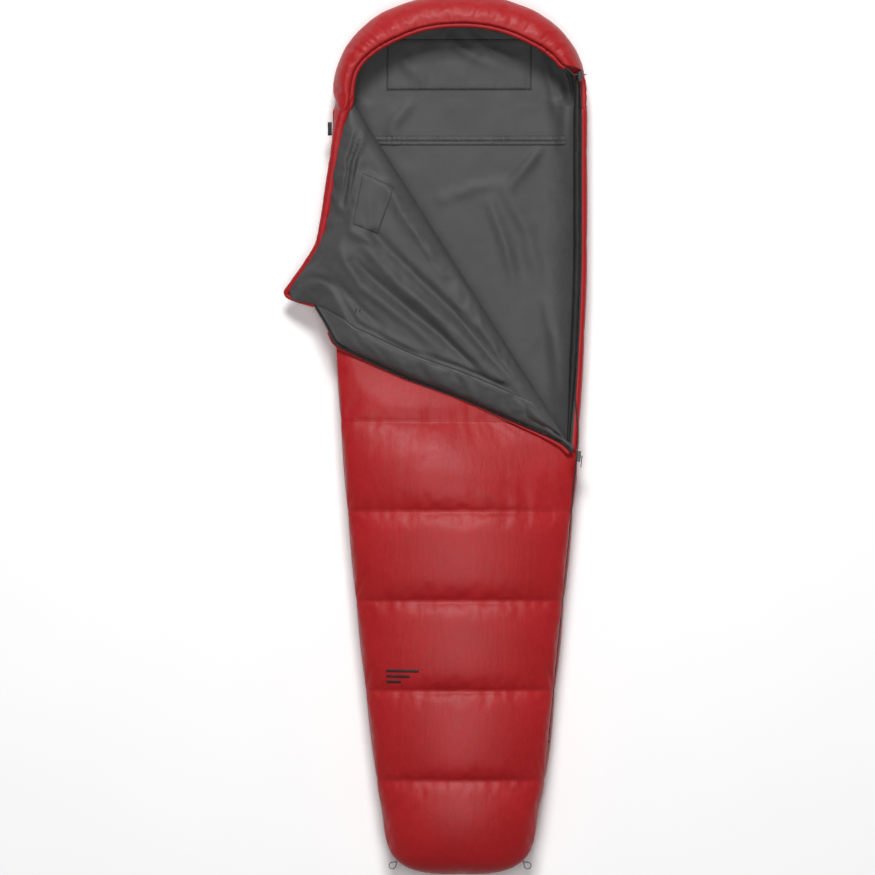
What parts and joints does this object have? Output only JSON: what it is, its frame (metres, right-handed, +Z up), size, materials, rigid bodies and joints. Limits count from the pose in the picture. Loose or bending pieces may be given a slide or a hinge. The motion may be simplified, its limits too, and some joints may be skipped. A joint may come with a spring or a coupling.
{
  "type": "mummy sleeping bag",
  "caption": "Padded mummy sleeping bag with hood and sewn chambers, lying on its back, side zip part open and the top panel folded back.",
  "frame": {"origin": "on the ground under the bag's centre line, half way along its length", "axes": "+Y towards the hood, +Z up, +X towards the zipped side"},
  "size_m": [0.7312, 2.1015, 0.178],
  "materials": {
    "red_shell": "satin",
    "red_hem": "satin",
    "fill": "matte",
    "baffle": "matte",
    "grey_lining": "matte",
    "seam_tape": "matte",
    "zip_tape": "matte",
    "zip_coil": "satin",
    "zip_metal": "satin",
    "cord": "matte",
    "label": "matte",
    "print": "matte",
    "lock_plastic": "satin",
    "spring_steel": "polished"
  },
  "bodies": {
    "root": {"base_shell": "red_shell", "base_fill": "fill", "base_baffles": "baffle", "base_lining": "grey_lining", "top_shell": "red_shell", "top_fill_chest": "fill", "top_fill_hip": "fill", "top_fill_thigh": "fill", "top_fill_knee": "fill", "top_fill_shin": "fill", "top_fill_ankle": "fill", "top_baffles": "baffle", "top_lining": "grey_lining", "foot_shell": "red_shell", "foot_fill": "fill", "foot_lining": "grey_lining", "hood_shell": "red_shell", "hood_fill": "fill", "hood_lining": "grey_lining", "hood_hem": "red_hem", "hood_drawcord": "cord", "pillow_pocket": "grey_lining", "neck_tape": "seam_tape", "draft_tube": "grey_lining", "draft_tube_fill": "fill", "zip_tape_base": "zip_tape", "zip_coil_base": "zip_coil", "zip_coil_closed": "zip_coil", "zip_tape_top": "zip_tape", "zip_bottom_stop": "zip_metal", "side_label": "label", "hang_loop_left": "cord", "hang_loop_right": "cord", "shell_mark": "print"},
    "flap": {"flap_shell": "red_shell", "flap_fill": "fill", "flap_lining": "grey_lining", "flap_facing": "grey_lining", "inner_pocket": "grey_lining", "zip_tape_flap": "zip_tape", "zip_coil_flap": "zip_coil"},
    "flap_corner": {"corner_shell": "red_shell", "corner_fill": "fill", "corner_lining": "grey_lining", "neck_hem": "red_hem", "zip_tape_corner": "zip_tape", "zip_coil_corner": "zip_coil", "zip_top_stop": "zip_metal"},
    "slider": {"slider_body": "zip_metal"},
    "pull_tab": {"pull_tab": "zip_metal"},
    "cord_lock": {"lock_barrel": "lock_plastic", "lock_spring": "spring_steel"},
    "lock_button": {"lock_button": "lock_plastic"}
  },
  "joints": [
    {"name": "flap_fold", "type": "hinge", "parent": "root", "child": "flap", "pos_m": [0.006, 0.3825, 0.112], "axis": [-0.5345, 0.8452, 0], "range_deg": [0, 174]},
    {"name": "corner_fold", "type": "hinge", "parent": "flap", "child": "flap_corner", "pos_m": [-0.262, 0.45, 0.1475], "axis": [0, 1, 0], "range_deg": [0, 36]},
    {"name": "zip_slide", "type": "slide", "parent": "root", "child": "slider", "axis": [-0.1008, -0.9949, 0], "range_m": [0, 0.65]},
    {"name": "pull_tab_swing", "type": "hinge", "parent": "slider", "child": "pull_tab", "pos_m": [0.29128, -0.04693, 0.097], "axis": [0, 0, 1], "range_deg": [0, 150]},
    {"name": "cord_lock_slide", "type": "slide", "parent": "root", "child": "cord_lock", "axis": [1, 0, 0], "range_m": [0, 0.008]},
    {"name": "lock_button_press", "type": "slide", "parent": "cord_lock", "child": "lock_button", "axis": [0, 1, 0], "range_m": [0, 0.003], "stiffness_N_per_m": 300}
  ],
  "couplings": [
    {"joint": "corner_fold", "follows": "flap_fold", "ratio": 0.2}
  ]
}
